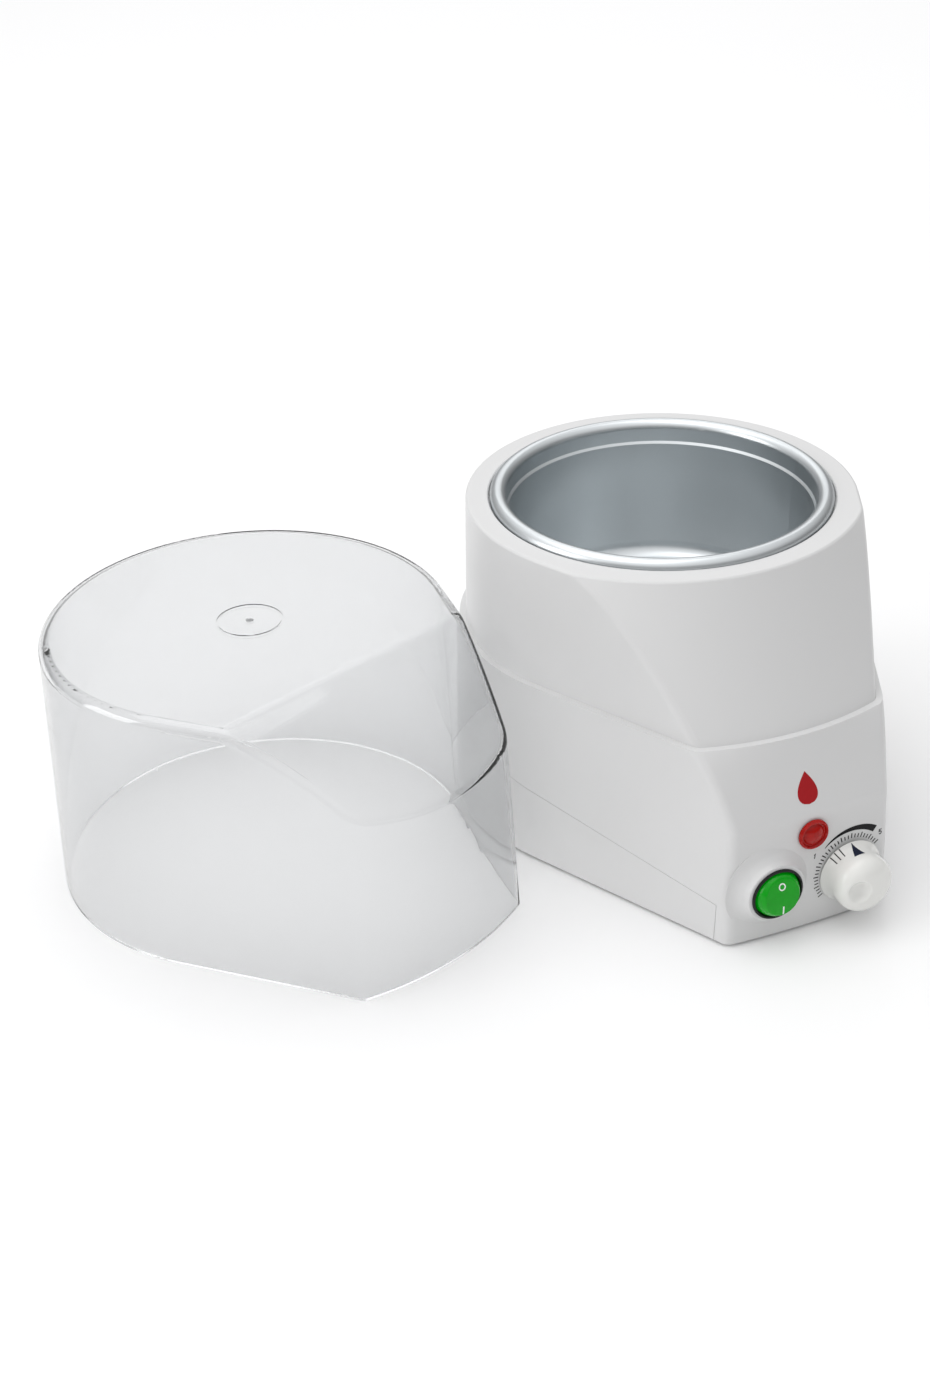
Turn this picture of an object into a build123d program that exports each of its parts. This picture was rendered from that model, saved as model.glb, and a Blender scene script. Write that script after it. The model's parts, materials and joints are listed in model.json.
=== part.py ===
from build123d import *
from math import cos, hypot, pi, radians, sin, sqrt, tan
import os

os.makedirs("parts", exist_ok=True)

# Wax heater with a lift-out pot and a clear lid, millimetres.
# Origin: pot axis on the surface it stands on. -Y is the control front, +Z is up.

# ---------------------------------------------------------------- driving sizes
wall = 2.6                  # housing wall
wall_angle = 25.8           # how far round the back circle the side walls start
skirt_z = 1.2               # bottom edge of the housing above the table

base_r = 86.3               # back radius at the table
ledge_r = 83.5              # back radius at the ledge
ledge_z = 80.2              # height of the ledge that carries the lid
ledge_w = 2.7               # width of the ledge
hood_r = ledge_r - ledge_w  # back radius of the hood just above the ledge
top_r = 79.4                # outer radius of the top ring
top_z = 133.8               # height of the top ring

hood_top_arc = 84.2         # front arc of the hood at the top ring
hood_top_cy = 4.85
ledge_arc = 122.0           # front arc at the ledge
ledge_cy = 8.9
panel_arc = 411.0           # the control panel is almost flat
break_z = 51.2              # where the slanted front meets the panel
break_cy = 286.1
base_cy = 284.6

seat_r = 70.2               # pocket for the pot rim
seat_z = 131.2
throat_r = 67.0             # hole below the pocket

pot_r = 62.8                # inner radius of the pot mouth
pot_foot_r = 60.2           # inner radius of the pot at its bottom
pot_wall = 1.0
pot_floor_z = 74.0          # inside bottom
rim_r = 69.6                # outer edge of the rolled rim
rim_top_z = 136.6
bead_z = 126.6

well_r = 64.6               # inner radius of the heater well
well_wall = 1.0
well_floor_z = 71.6
well_flange_z = seat_z - 2.6

lid_wall = 1.8
lid_r = ledge_r + 0.1
lid_front = 105.9
lid_sag = 7.2
lid_h = 107.0
lid_top_r = 80.2
lid_turn = 21.0             # the lid stands turned beside the heater
lid_x = -171.6
lid_y = 20.5

panel_x = 17.4              # switch and knob stand this far from the middle
knob_z = 21.2
knob_turn_r = 13.5
switch_z = 23.5
switch_r = 10.95
switch_boss_h = 4.5
bezel_body_r = 10.6         # body of the switch behind its flange
lamp_z = 43.0
lamp_r = 6.4

crease_r = 5.0              # edge between hood and side wall
top_edge_r = 1.2
corner_r = 5.0              # front corners of the body
break_r = 6.0               # bend between slanted front and panel

screw_r = 1.6
strap_z = 66.5              # strap under the well
strap_t = 1.5
front_post_h = 33.0

floor_t = 2.4               # floor of the base tray
lap_h = 3.0                 # overlap of tray and housing
pad_y = -121.4              # flat pads behind the control panel
gland_z = 18.0
gland_y = 86.8              # flat at the back for the cord inlet
cord_hole_r = 3.6
foot_r = 7.0
feet = [(38.0, 62.0), (-38.0, 62.0), (22.0, -106.0), (-22.0, -106.0)]

part_front_y = -119.0       # the base tray ends behind the control panel
part_front_z = 17.2         # its top edge there
part_slope = 0.178          # and the rise of that edge towards the rear

screw_ring_r = 73.5         # posts round the well
front_post = (31.0, -88.0)
post_r = 4.0
column_r = 5.4
joint_z = 62.0              # where posts and columns meet
head_seat_z = 50.0

far_front = 140.0
lid_plane = Plane(
    origin=(lid_x, lid_y, 0),
    x_dir=(cos(radians(lid_turn)), sin(radians(lid_turn)), 0),
    z_dir=(0, 0, 1),
)


# ---------------------------------------------------------------- shared shapes
def wall_x(radius, front):
    """Half width of the teardrop plan at y = -front."""
    a = radians(wall_angle)
    return (radius - front * sin(a)) / cos(a)


def teardrop(plane, radius, front, sag=0.0, corner=0.0):
    """Plan of the heater: a back circle, two tangent side walls and a front."""
    a = radians(wall_angle)
    tangent = (radius * cos(a), -radius * sin(a))
    x = wall_x(radius, front)
    with BuildSketch(plane) as plan:
        with BuildLine():
            ThreePointArc(tangent, (0, radius), (-tangent[0], tangent[1]))
            Line((-tangent[0], tangent[1]), (-x, -front))
            if sag > 0:
                ThreePointArc((-x, -front), (0, -front - sag), (x, -front))
            else:
                Line((-x, -front), (x, -front))
            Line((x, -front), tangent)
        make_face()
        if corner > 0:
            fillet(plan.vertices(Select.ALL).sort_by(Axis.Y)[:2], corner)
    return plan.sketch


def front_stack(levels):
    """Solid bounded by front arcs: levels are (z, radius, centre y)."""
    with BuildPart() as stack:
        for (z0, r0, c0), (z1, r1, c1) in zip(levels, levels[1:]):
            with BuildSketch(Plane.XY.offset(z0)):
                with Locations((0, c0)):
                    Circle(r0)
            with BuildSketch(Plane.XY.offset(z1)):
                with Locations((0, c1)):
                    Circle(r1)
            loft(ruled=True)
    return stack.part


def hood_form(inset, z0, z1):
    """Hood between two heights, inset from its outer skin."""
    slope = (hood_r - top_r) / (top_z - ledge_z)

    def back(z):
        return hood_r - inset - (z - ledge_z) * slope

    def arc(z):
        t = (z - ledge_z) / (top_z - ledge_z)
        radius = (ledge_arc - ledge_w) * (1 - t) + hood_top_arc * t
        return (z, radius - inset, ledge_cy * (1 - t) + hood_top_cy * t)

    cone = front_stack([arc(z0), arc(z1)])
    with BuildPart() as form:
        add(teardrop(Plane.XY.offset(z0), back(z0), far_front))
        add(teardrop(Plane.XY.offset(z1), back(z1), far_front))
        loft(ruled=True)
        add(cone, mode=Mode.INTERSECT)
    return form.part


def lower_form(inset, z0, z1):
    """Body below the ledge between two heights, inset from its outer skin."""
    slope = (base_r - ledge_r) / ledge_z

    def back(z):
        return base_r - inset - z * slope

    def arc(z):
        if z <= break_z:
            return (z, panel_arc - inset, base_cy + (break_cy - base_cy) * z / break_z)
        t = (z - break_z) / (ledge_z - break_z)
        return (z, panel_arc * (1 - t) + ledge_arc * t - inset, break_cy * (1 - t) + ledge_cy * t)

    heights = [z0, break_z, z1] if z0 < break_z < z1 else [z0, z1]
    front = front_stack([arc(z) for z in heights])
    with BuildPart() as form:
        add(teardrop(Plane.XY.offset(z0), back(z0), far_front))
        add(teardrop(Plane.XY.offset(z1), back(z1), far_front))
        loft(ruled=True)
        add(front, mode=Mode.INTERSECT)
    return form.part


def front_plane(x, y, z):
    """Plane facing the user, for round things on the control panel."""
    return Plane(origin=(x, y, z), x_dir=(1, 0, 0), z_dir=(0, -1, 0))


def side_section(x, y, z):
    """Half section plane of a round control: first axis outwards, second towards the user."""
    return Plane(origin=(x, y, z), x_dir=(1, 0, 0), z_dir=(0, 0, -1))


def user_axis(x, y, z):
    return Axis((x, y, z), (0, -1, 0))


def panel_y(x, z):
    """Outer skin of the control panel."""
    centre = base_cy + (break_cy - base_cy) * z / break_z
    return centre - sqrt(panel_arc**2 - x**2)


def edges_where(form, test):
    """Edges of a form whose middle point passes a test."""
    return [edge for edge in form.edges() if test(edge.center())]


def save(part, name):
    part.label = name
    export_step(part, f"parts/{name}.step")


def bend_radii(points, largest=12.0):
    """Radius of each bend of a route: most of its shorter run, within a limit."""
    corners = [Vector(*point) for point in points]
    radii = []
    for before, here, after in zip(corners, corners[1:], corners[2:]):
        turn = radians((here - before).get_angle(after - here))
        shorter = min((here - before).length, (after - here).length)
        radii.append(min(largest, 0.45 * shorter / tan(turn / 2)))
    return radii


def tube_along(name, points, r):
    """A wire or capillary: straight runs joined by arcs."""
    with BuildPart() as tube:
        with BuildLine():
            path = FilletPolyline(*points, radius=bend_radii(points))
        with BuildSketch(Plane(origin=path @ 0, z_dir=path % 0)):
            Circle(r)
        sweep()
    expected = pi * r**2 * path.length
    print(name, "radii", [round(radius, 1) for radius in bend_radii(points)],
          "volume ratio", round(tube.part.volume / expected, 3))
    save(tube.part, name)


# ---------------------------------------------------------------- housing forms
hood_skin = hood_form(0, ledge_z, top_z)
hood_cavity = hood_form(wall, ledge_z - 1, seat_z - 0.6)
body_skin = lower_form(0, skirt_z, ledge_z)
body_cavity = lower_form(wall, skirt_z - 1, ledge_z - 2.4)
body_neck = lower_form(ledge_w + wall, ledge_z - 5, ledge_z + 1)
rib_outer = lower_form(ledge_w + wall + 0.2, ledge_z - 4.7, ledge_z)
rib_inner = lower_form(ledge_w + wall + 1.7, ledge_z - 5.7, ledge_z + 4)
rib_root = lower_form(ledge_w + wall - 0.3, ledge_z, ledge_z + 2.8)

rear_x = screw_ring_r * cos(radians(45))
posts = [(rear_x, rear_x), (-rear_x, rear_x), front_post, (-front_post[0], front_post[1])]
bracket_posts = [(screw_ring_r, 0), (-screw_ring_r, 0)]

# ---------------------------------------------------------------- upper housing
with BuildPart() as upper_housing:
    add(hood_skin)
    fillet(edges_where(upper_housing, lambda c: abs(c.X) > 45 and 100 < c.Z < 120 and c.Y < -60), crease_r)
    fillet(edges_where(upper_housing, lambda c: c.Z > top_z - 0.1), top_edge_r)
    add(hood_cavity, mode=Mode.SUBTRACT)
    with BuildSketch(Plane.XY.offset(seat_z - 2.6)):
        Circle(throat_r + 6)
        Circle(throat_r, mode=Mode.SUBTRACT)
    extrude(amount=2.6)
    with BuildSketch(Plane.XY.offset(seat_z)):
        Circle(seat_r)
    extrude(amount=10, mode=Mode.SUBTRACT)
    with BuildSketch(Plane.XY.offset(seat_z - 1)):
        Circle(throat_r)
    extrude(amount=10, mode=Mode.SUBTRACT)
    pocket_edge = edges_where(upper_housing, lambda c: c.Z > top_z - 0.1 and hypot(c.X, c.Y) < seat_r + 1)
    chamfer(pocket_edge[-1:], 0.5)
    add(rib_root)
    add(rib_outer)
    add(rib_inner, mode=Mode.SUBTRACT)
    with BuildSketch(Plane.XY.offset(joint_z)):
        with Locations(*posts[:2]):
            Circle(post_r)
    extrude(amount=38)
    with BuildSketch(Plane.XY.offset(strap_z + strap_t)):
        with Locations(*bracket_posts):
            Circle(post_r)
    extrude(amount=40)
    with BuildSketch(Plane.XY.offset(joint_z)):
        with Locations(*posts[2:]):
            Circle(post_r)
    extrude(amount=front_post_h)
    with BuildSketch(Plane.XY.offset(joint_z)):
        with Locations(*posts):
            Circle(screw_r + 0.05)
    extrude(amount=14, mode=Mode.SUBTRACT)
    with BuildSketch(Plane.XY.offset(strap_z)):
        with Locations(*bracket_posts):
            Circle(screw_r + 0.05)
    extrude(amount=12, mode=Mode.SUBTRACT)
save(upper_housing.part, "upper_housing")


# ---------------------------------------------------------------- lower housing and base tray
def tray_zone(raise_by, front_by=0.0):
    """Everything under the parting line, behind the control panel."""
    front = part_front_y + front_by
    rear = 110.0
    edge = part_front_z + raise_by
    with BuildPart() as zone:
        with BuildSketch(Plane.YZ):
            Polygon(
                (front, -5),
                (front, edge + front_by * part_slope),
                (rear, edge + (rear - part_front_y) * part_slope),
                (rear, -5),
                align=None,
            )
        extrude(amount=120, both=True)
    return zone.part


with BuildPart() as body_shell:
    add(body_skin)
    fillet(edges_where(body_shell, lambda c: abs(c.Z - break_z) < 0.1), break_r)
    fillet(edges_where(body_shell, lambda c: c.Y < -108 and abs(c.X) > 30 and 3 < c.Z < 78), corner_r)
    add(body_cavity, mode=Mode.SUBTRACT)
    add(body_neck, mode=Mode.SUBTRACT)

zone = tray_zone(0)
zone_gap = tray_zone(0.2, -0.2)
lap_zone = tray_zone(lap_h, 2.0)
lap_gap = tray_zone(lap_h + 0.2, 1.8)
lap_skin = lower_form(wall / 2 + 0.1, skirt_z, ledge_z)
lap_slot = lower_form(wall / 2, skirt_z, ledge_z)
floor_wide = lower_form(wall - 0.3, skirt_z, skirt_z + floor_t)
floor_front = lower_form(wall + 0.3, skirt_z, skirt_z + floor_t)

with BuildPart() as lap:
    add(lap_skin)
    add(body_cavity, mode=Mode.SUBTRACT)
    add(lap_zone, mode=Mode.INTERSECT)

with BuildPart() as lap_space:
    add(lap_slot)
    add(lap_gap, mode=Mode.INTERSECT)

switch_face_y = panel_y(panel_x, switch_z) - switch_boss_h
knob_base_y = panel_y(panel_x, knob_z)
lamp_base_y = panel_y(0, lamp_z) - 0.25

with BuildPart() as lower_housing:
    add(body_shell.part)
    add(zone_gap, mode=Mode.SUBTRACT)
    add(lap_space.part, mode=Mode.SUBTRACT)
    with BuildSketch(side_section(-panel_x, switch_face_y, switch_z)):
        with BuildLine():
            flare = (switch_r + 8.5, -switch_boss_h - 0.9)
            Spline((switch_r + 1.6, -0.5), (switch_r + 3.1, -2.9), flare, tangents=((0.25, -1), (1, -0.08)))
            Polyline(flare, (flare[0], -switch_boss_h - 1.2), (0, -switch_boss_h - 1.2), (0, 0), (switch_r + 1, 0))
            ThreePointArc((switch_r + 1, 0), (switch_r + 1.42, -0.15), (switch_r + 1.6, -0.5))
        make_face()
    revolve(axis=user_axis(-panel_x, switch_face_y, switch_z))
    with BuildSketch(front_plane(-panel_x, pad_y, switch_z)):
        Circle(switch_r + 2)
    with BuildSketch(front_plane(panel_x, pad_y, knob_z)):
        Circle(12)
    with BuildSketch(front_plane(0, pad_y, lamp_z)):
        Circle(8)
    extrude(amount=3)
    with BuildSketch(front_plane(-panel_x, pad_y + 5, switch_z)):
        Circle(bezel_body_r + 0.1)
    with BuildSketch(front_plane(panel_x, pad_y + 5, knob_z)):
        Circle(4.2)
    with BuildSketch(front_plane(0, pad_y + 5, lamp_z)):
        Circle(4.8)
    extrude(amount=20, mode=Mode.SUBTRACT)
save(lower_housing.part, "lower_housing")

with BuildPart() as base_tray:
    add(body_shell.part)
    add(floor_wide)
    add(zone, mode=Mode.INTERSECT)
    add(floor_front)
    add(lap.part)
    with BuildSketch(Plane.XY.offset(skirt_z)):
        with Locations(*posts):
            Circle(column_r)
    extrude(amount=joint_z - skirt_z)
    with BuildSketch(Plane(origin=(0, gland_y, gland_z), x_dir=(1, 0, 0), z_dir=(0, -1, 0))):
        Circle(11)
    extrude(amount=6)
    with BuildSketch(Plane.XY.offset(skirt_z)):
        with Locations(*posts):
            Circle(3.9)
    extrude(amount=head_seat_z - skirt_z, mode=Mode.SUBTRACT)
    with BuildSketch(Plane.XY.offset(skirt_z)):
        with Locations(*posts):
            Circle(screw_r + 0.3)
    extrude(amount=joint_z, mode=Mode.SUBTRACT)
    with BuildSketch(Plane(origin=(0, gland_y + 1, gland_z), x_dir=(1, 0, 0), z_dir=(0, -1, 0))):
        Circle(6.3)
    extrude(amount=12, mode=Mode.SUBTRACT)
    with BuildSketch(Plane.XY.offset(skirt_z)):
        with Locations(*feet):
            Circle(foot_r + 0.3)
    extrude(amount=0.8, mode=Mode.SUBTRACT)
    with BuildSketch(Plane.XY.offset(skirt_z)):
        with Locations(*feet):
            Circle(2)
        with Locations((0, 12), (0, -28)):
            with GridLocations(9, 0, 8, 1):
                SlotOverall(28, 3, rotation=90)
    extrude(amount=floor_t, mode=Mode.SUBTRACT)
save(base_tray.part, "base_tray")

with BuildPart() as rubber_feet:
    with BuildSketch(Plane.XY):
        with Locations(*feet):
            Circle(foot_r)
    extrude(amount=skirt_z + 0.8)
    chamfer(rubber_feet.edges().group_by(Axis.Z)[0], 0.5)
    with BuildSketch(Plane.XY.offset(skirt_z)):
        with Locations(*feet):
            Circle(1.9)
    extrude(amount=floor_t + 0.1)
    with BuildSketch(Plane.XY.offset(skirt_z + floor_t + 0.1)):
        with Locations(*feet):
            Circle(2.7)
    extrude(amount=1.6, taper=25)
save(rubber_feet.part, "rubber_feet")

with BuildPart() as housing_screws:
    with BuildSketch(Plane.XY.offset(head_seat_z - 2.2)):
        with Locations(*posts):
            Circle(3.3)
    extrude(amount=2.2)
    with BuildSketch(Plane.XY.offset(head_seat_z)):
        with Locations(*posts):
            Circle(screw_r)
    extrude(amount=24)
    with BuildSketch(Plane.XY.offset(head_seat_z - 2.2)):
        with Locations(*posts):
            RegularPolygon(1.4, 6)
    extrude(amount=1.3, mode=Mode.SUBTRACT)
save(housing_screws.part, "housing_screws")


# ---------------------------------------------------------------- pot and its heater
def turned(points):
    """Solid of revolution about the pot axis from (radius, height) points."""
    with BuildPart() as turning:
        with BuildSketch(Plane.XZ):
            Polygon(*points, align=None)
        revolve(axis=Axis.Z)
    return turning.part


rim_mid_r = (pot_r + rim_r) / 2
rim_arc_z = seat_z + 1.9    # where the walls meet the rolled rim
with BuildPart() as wax_pot:
    with BuildSketch(Plane.XZ):
        with BuildLine():
            Polyline((0, pot_floor_z - pot_wall), (0, pot_floor_z), (pot_foot_r, pot_floor_z))
            Polyline((pot_foot_r, pot_floor_z), (pot_r - 0.8, bead_z), (pot_r, bead_z + 1))
            Line((pot_r, bead_z + 1), (pot_r, rim_arc_z))
            ThreePointArc((pot_r, rim_arc_z), (rim_mid_r, rim_top_z), (rim_r, rim_arc_z))
            Polyline((rim_r, rim_arc_z), (rim_r, seat_z), (rim_r - pot_wall, seat_z))
            Line((rim_r - pot_wall, seat_z), (rim_r - pot_wall, rim_arc_z))
            ThreePointArc(
                (rim_r - pot_wall, rim_arc_z),
                (rim_mid_r, rim_top_z - pot_wall),
                (pot_r + pot_wall, rim_arc_z),
            )
            Line((pot_r + pot_wall, rim_arc_z), (pot_r + pot_wall, bead_z + 1.4))
            Line((pot_r + pot_wall, bead_z + 1.4), (pot_r + 0.2, bead_z - 0.4))
            Line((pot_r + 0.2, bead_z - 0.4), (pot_foot_r + pot_wall, pot_floor_z - pot_wall))
            Line((pot_foot_r + pot_wall, pot_floor_z - pot_wall), (0, pot_floor_z - pot_wall))
        outline = make_face()
        fillet(outline.vertices().sort_by_distance((pot_foot_r, pot_floor_z))[0], 7)
        fillet(outline.vertices().sort_by_distance((pot_foot_r + pot_wall, pot_floor_z - pot_wall))[0], 8)
    revolve(axis=Axis.Z)
save(wax_pot.part, "wax_pot")

with BuildPart() as heater_well:
    outer = well_r + well_wall
    bottom = well_floor_z - well_wall
    add(turned([
        (0, bottom), (outer - 2, bottom), (outer, bottom + 2), (outer, well_flange_z - well_wall),
        (well_r + 7.4, well_flange_z - well_wall), (well_r + 7.4, well_flange_z), (well_r, well_flange_z),
        (well_r, well_floor_z + 1.6), (well_r - 1.6, well_floor_z), (0, well_floor_z),
    ]))
save(heater_well.part, "heater_well")

band_r = well_r + well_wall + 0.05
band_z = 78.0
band_h = 26.0
with BuildPart() as heating_band:
    with BuildSketch(Plane.XY.offset(band_z)):
        Circle(band_r + 1.2)
        Circle(band_r, mode=Mode.SUBTRACT)
        with Locations((0, -band_r)):
            Rectangle(10, 12, mode=Mode.SUBTRACT)
    extrude(amount=band_h)
save(heating_band.part, "heating_band")

clamp_r = band_r + 1.25
clamp_z = band_z + 10
with BuildPart() as band_clamp:
    with BuildSketch(Plane.XY.offset(clamp_z)):
        Circle(clamp_r + 0.6)
        with Locations((0, -clamp_r - 4)):
            Rectangle(11, 8)
        Circle(clamp_r, mode=Mode.SUBTRACT)
        with Locations((0, -clamp_r - 2)):
            Rectangle(8.6, 13, mode=Mode.SUBTRACT)
    extrude(amount=6)
    with BuildSketch(Plane(origin=(-10, -clamp_r - 4.5, clamp_z + 3), z_dir=(1, 0, 0))):
        Circle(1.6)
    extrude(amount=20, mode=Mode.SUBTRACT)
save(band_clamp.part, "band_clamp")

with BuildPart() as band_clamp_screw:
    with BuildSketch(Plane(origin=(-5.5, -clamp_r - 4.5, clamp_z + 3), z_dir=(-1, 0, 0))):
        Circle(2.8)
    extrude(amount=2)
    with BuildSketch(Plane(origin=(-5.5, -clamp_r - 4.5, clamp_z + 3), z_dir=(1, 0, 0))):
        Circle(1.5)
    extrude(amount=13)
save(band_clamp_screw.part, "band_clamp_screw")

sleeve_r = band_r + 1.95
with BuildPart() as insulation_sleeve:
    with BuildSketch(Plane.XY.offset(band_z - 3)):
        Circle(sleeve_r + 1.5)
        Circle(sleeve_r, mode=Mode.SUBTRACT)
        with Locations((0, -sleeve_r)):
            Rectangle(20, 8, mode=Mode.SUBTRACT)
    extrude(amount=band_h + 6)
save(insulation_sleeve.part, "insulation_sleeve")

with BuildPart() as insulation_pad:
    with BuildSketch(Plane.XY.offset(strap_z + strap_t)):
        Circle(18)
    extrude(amount=well_floor_z - well_wall - strap_z - strap_t)
save(insulation_pad.part, "insulation_pad")

with BuildPart() as well_bracket:
    with BuildSketch(Plane.XY.offset(strap_z)):
        SlotOverall(2 * screw_ring_r + 10, 14)
        with Locations(*bracket_posts):
            Circle(screw_r + 0.2, mode=Mode.SUBTRACT)
    extrude(amount=strap_t)
save(well_bracket.part, "well_bracket")

with BuildPart() as bracket_screws:
    with BuildSketch(Plane.XY.offset(strap_z - 2.2)):
        with Locations(*bracket_posts):
            Circle(3)
    extrude(amount=2.2)
    with BuildSketch(Plane.XY.offset(strap_z)):
        with Locations(*bracket_posts):
            Circle(screw_r)
    extrude(amount=10)
save(bracket_screws.part, "bracket_screws")

well_bottom_z = well_floor_z - well_wall
bulb_r = 3.0
bulb_y = -30.0
bulb_z = well_bottom_z - bulb_r - 0.05
with BuildPart() as thermostat_bulb:
    with BuildSketch(Plane(origin=(-26, bulb_y, bulb_z), z_dir=(1, 0, 0))):
        Circle(bulb_r)
    extrude(amount=52)
    chamfer(thermostat_bulb.edges().sort_by(Axis.X)[0], 1)
save(thermostat_bulb.part, "thermostat_bulb")

with BuildPart() as bulb_clip:
    with BuildSketch(Plane(origin=(-6, bulb_y, well_bottom_z), x_dir=(0, 1, 0), z_dir=(1, 0, 0))):
        with Locations((0, -0.5)):
            Rectangle(20, 1)
        with Locations((0, bulb_z - well_bottom_z)):
            Circle(bulb_r + 0.9)
        with Locations((0, bulb_z - well_bottom_z)):
            Circle(bulb_r + 0.05, mode=Mode.SUBTRACT)
        with Locations((0, 2.5)):
            Rectangle(30, 5, mode=Mode.SUBTRACT)
        with Locations((0, -1)):
            Rectangle(2 * bulb_r - 0.6, 2, mode=Mode.SUBTRACT)
    extrude(amount=12)
save(bulb_clip.part, "bulb_clip")

fuse_r = 2.2
fuse_y = 30.0
fuse_z = well_bottom_z - fuse_r - 0.05
with BuildPart() as thermal_fuse:
    with BuildSketch(Plane(origin=(-7, fuse_y, fuse_z), z_dir=(1, 0, 0))):
        Circle(fuse_r)
    extrude(amount=14)
    with BuildSketch(Plane(origin=(-14, fuse_y, fuse_z), z_dir=(1, 0, 0))):
        Circle(0.6)
    extrude(amount=28)
save(thermal_fuse.part, "thermal_fuse")

with BuildPart() as fuse_clip:
    with BuildSketch(Plane(origin=(-4, fuse_y, well_bottom_z), x_dir=(0, 1, 0), z_dir=(1, 0, 0))):
        with Locations((0, -0.5)):
            Rectangle(16, 1)
        with Locations((0, fuse_z - well_bottom_z)):
            Circle(fuse_r + 0.9)
        with Locations((0, fuse_z - well_bottom_z)):
            Circle(fuse_r + 0.05, mode=Mode.SUBTRACT)
        with Locations((0, 2.5)):
            Rectangle(24, 5, mode=Mode.SUBTRACT)
        with Locations((0, -1)):
            Rectangle(2 * fuse_r - 0.6, 2, mode=Mode.SUBTRACT)
    extrude(amount=8)
save(fuse_clip.part, "fuse_clip")


# ---------------------------------------------------------------- thermostat and knob
knob_origin = (panel_x, knob_base_y, knob_z)
knob_gap = 0.9              # between the knob and the panel
knob_length = 16.8
neck_end = 3.0
shaft_end = 12.6
shaft_r = 3.0
flat_depth = 0.9

with BuildPart() as thermostat_knob:
    with BuildSketch(side_section(*knob_origin)):
        with BuildLine():
            Polyline((0, neck_end + 0.6), (7.6, neck_end + 0.6), (8.2, knob_gap), (knob_turn_r - 0.3, knob_gap))
            Line((knob_turn_r - 0.3, knob_gap), (knob_turn_r, knob_gap + 0.3))
            Spline(
                (knob_turn_r, knob_gap + 0.3), (12.3, 3.4), (11.8, 6.4), (11.95, 9.8),
                tangents=((-0.6, 0.8), (0, 1)),
            )
            Spline((11.95, 9.8), (9.2, 14.9), (0, knob_length), tangents=((0, 1), (-1, 0)))
            Line((0, knob_length), (0, neck_end + 0.6))
        make_face()
    revolve(axis=user_axis(*knob_origin))
    with Locations((panel_x - 5.8, knob_base_y - 19.7, knob_z + 0.8)):
        Sphere(6.2, mode=Mode.SUBTRACT)
    dimple = thermostat_knob.edges().filter_by(lambda edge: edge.center().Y < knob_base_y - 12)
    fillet(dimple.sort_by(SortBy.LENGTH)[-1], 1.0)
    with BuildSketch(front_plane(panel_x, knob_base_y - neck_end, knob_z)):
        Circle(shaft_r + 0.03)
        with Locations((0, shaft_r + 0.03)):
            Rectangle(8, 2 * flat_depth, mode=Mode.SUBTRACT)
    extrude(amount=shaft_end - neck_end + 0.2, mode=Mode.SUBTRACT)
save(thermostat_knob.part, "thermostat_knob")

thermostat_back = -100.0
tab_x = 5.0
tab_z = knob_z - 4
with BuildPart() as thermostat_shaft:
    with BuildSketch(front_plane(panel_x, pad_y + 4, knob_z)):
        Circle(shaft_r - 0.02)
    extrude(amount=pad_y + 4 - knob_base_y + neck_end + 0.3)
    with BuildSketch(front_plane(panel_x, knob_base_y - neck_end - 0.3, knob_z)):
        Circle(shaft_r - 0.02)
        with Locations((0, shaft_r)):
            Rectangle(8, 2 * flat_depth + 0.1, mode=Mode.SUBTRACT)
    extrude(amount=shaft_end - neck_end - 0.3)
save(thermostat_shaft.part, "thermostat_shaft")

with BuildPart() as thermostat_body:
    with BuildSketch(front_plane(panel_x, pad_y + 1.3, knob_z)):
        RectangleRounded(30, 28, 3)
    extrude(amount=1.3)
    with BuildSketch(front_plane(panel_x, thermostat_back, knob_z)):
        RectangleRounded(27, 25, 2)
    extrude(amount=thermostat_back - pad_y - 1.3)
    with BuildSketch(front_plane(panel_x, pad_y, knob_z)):
        Circle(4.0)
    extrude(amount=pad_y - knob_base_y + neck_end - 0.2)
    with BuildSketch(front_plane(panel_x, pad_y + 4.4, knob_z)):
        Circle(shaft_r + 0.03)
    extrude(amount=20, mode=Mode.SUBTRACT)
save(thermostat_body.part, "thermostat_body")

with BuildPart() as thermostat_nut:
    with BuildSketch(front_plane(panel_x, knob_base_y - 0.4, knob_z)):
        RegularPolygon(6.2, 6)
        Circle(4.05, mode=Mode.SUBTRACT)
    extrude(amount=2.0)
save(thermostat_nut.part, "thermostat_nut")

with BuildPart() as thermostat_tabs:
    with BuildSketch(Plane.XZ.offset(-thermostat_back)):
        with Locations((panel_x - tab_x, tab_z), (panel_x + tab_x, tab_z)):
            Rectangle(6.3, 0.8)
    extrude(amount=-8)
save(thermostat_tabs.part, "thermostat_tabs")

# ---------------------------------------------------------------- round rocker switch
switch_origin = (-panel_x, switch_face_y, switch_z)
switch_depth = 22.0
bore_r = 10.0
pivot_in = 2.3              # pin behind the boss face
rocker_r = 9.8              # reach of the rocker from the middle of its pin
rocker_tilt = 9.0           # each side of level
rocker_top = 6.6            # its face in front of the pin
rocker_edge = 4.9           # and the same 11 above and below
rocker_back = 3.6           # its body behind the pin

with BuildPart() as switch_bezel:
    with BuildSketch(side_section(*switch_origin)):
        Polygon(
            (0, -switch_depth), (bezel_body_r, -switch_depth), (bezel_body_r, 0), (switch_r, 0),
            (switch_r, 0.7), (switch_r - 0.3, 1.0), (bore_r + 0.2, 1.0), (bore_r, 0.8),
            (bore_r, -switch_depth + 1.4), (0, -switch_depth + 1.4),
            align=None,
        )
    revolve(axis=user_axis(*switch_origin))
    with BuildSketch(Plane(origin=(-panel_x - 10.35, switch_face_y + pivot_in, switch_z), z_dir=(1, 0, 0))):
        Circle(0.85)
    extrude(amount=20.7, mode=Mode.SUBTRACT)
save(switch_bezel.part, "switch_bezel")

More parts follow.
